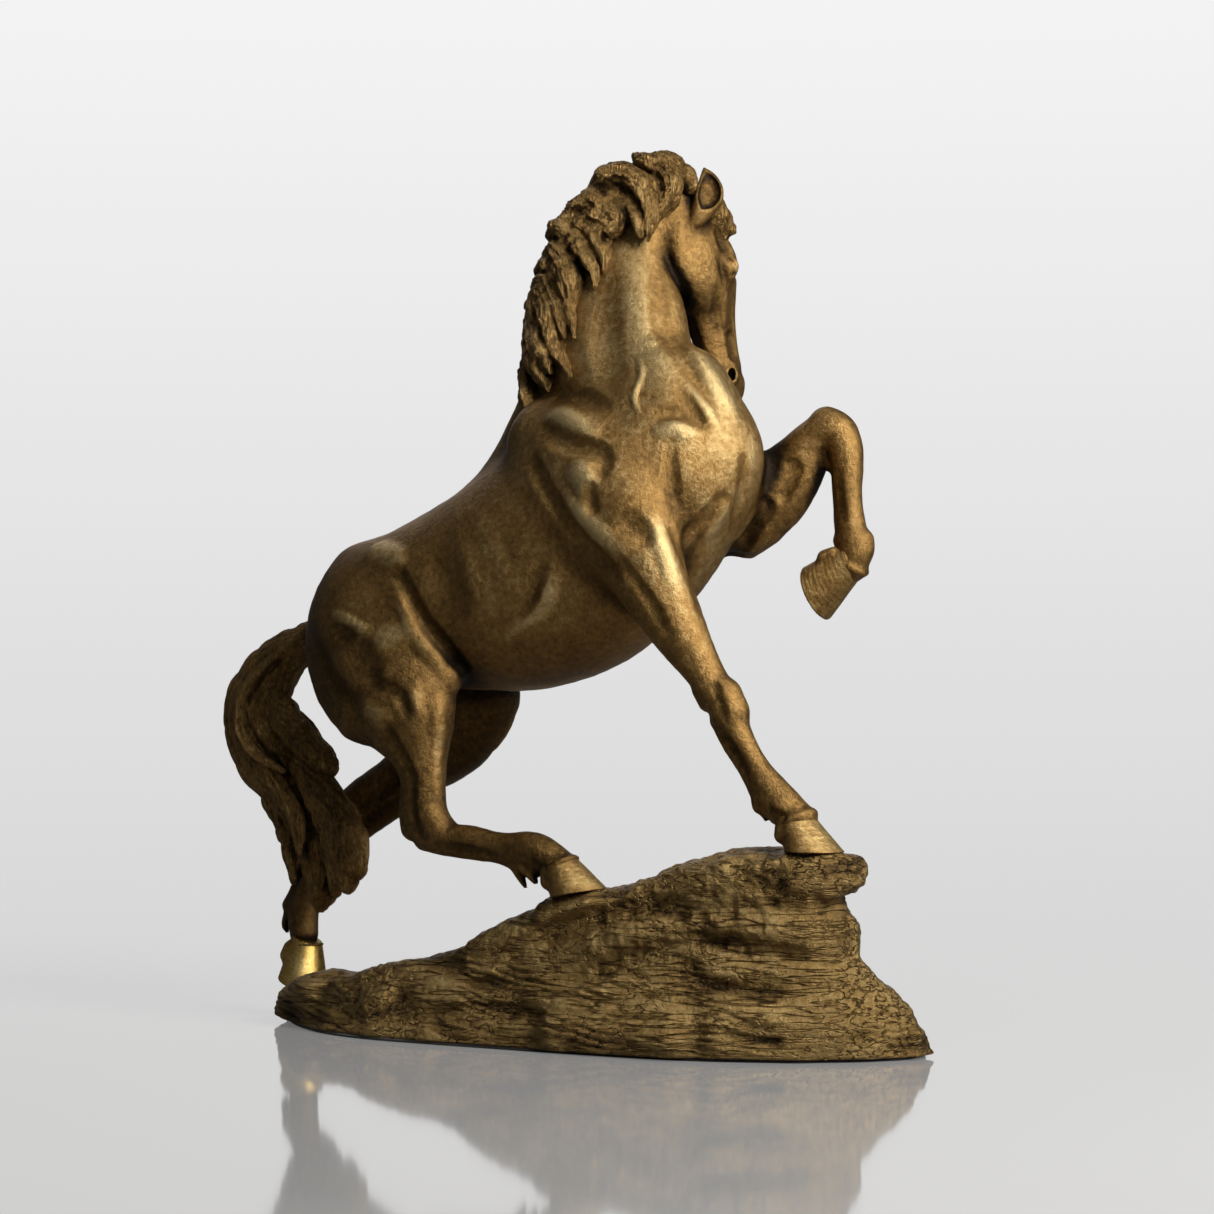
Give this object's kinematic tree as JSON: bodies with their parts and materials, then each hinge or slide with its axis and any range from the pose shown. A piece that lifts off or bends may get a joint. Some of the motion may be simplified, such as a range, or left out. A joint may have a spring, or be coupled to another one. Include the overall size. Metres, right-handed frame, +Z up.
{
  "type": "bronze horse statuette",
  "caption": "Cast bronze horse standing on a sloping rock on three legs, one foreleg raised and the head turned, with loose mane and tail.",
  "frame": {"origin": "middle of the felt's underside, where the statuette rests", "axes": "+X the way the horse faces, +Y to its left, +Z up"},
  "size_m": [0.4039, 0.1255, 0.4397],
  "materials": {
    "bronze": "brown patina rubbed to warm gold on the high spots",
    "hair_bronze": "darker brown patina in the grooves",
    "rock_bronze": "matt brown patina over tool marks",
    "hoof_bronze": "brown patina, rubbed",
    "hoof_gold": "polished to bright gold",
    "steel": "zinc plated",
    "felt": "black felt"
  },
  "bodies": {
    "root": {"rock_base": "rock_bronze", "base_felt": "felt", "torso": "bronze", "neck": "bronze", "head": "bronze", "ear_right": "bronze", "ear_left": "bronze", "forelock": "hair_bronze", "mane_poll": "hair_bronze", "mane_upper": "hair_bronze", "mane_middle": "hair_bronze", "mane_lower": "hair_bronze", "foreleg_right": "bronze", "foreleg_left": "bronze", "hindleg_right": "bronze", "hindleg_left": "bronze", "hoof_front_right": "hoof_bronze", "hoof_front_left": "hoof_bronze", "hoof_hind_right": "hoof_bronze", "hoof_hind_left": "hoof_gold", "tail_dock": "hair_bronze", "tail_lock_inner": "hair_bronze", "tail_lock_outer": "hair_bronze", "tail_switch": "hair_bronze", "hoof_studs": "steel", "stud_washers": "steel", "stud_nuts": "steel"}
  },
  "joints": []
}
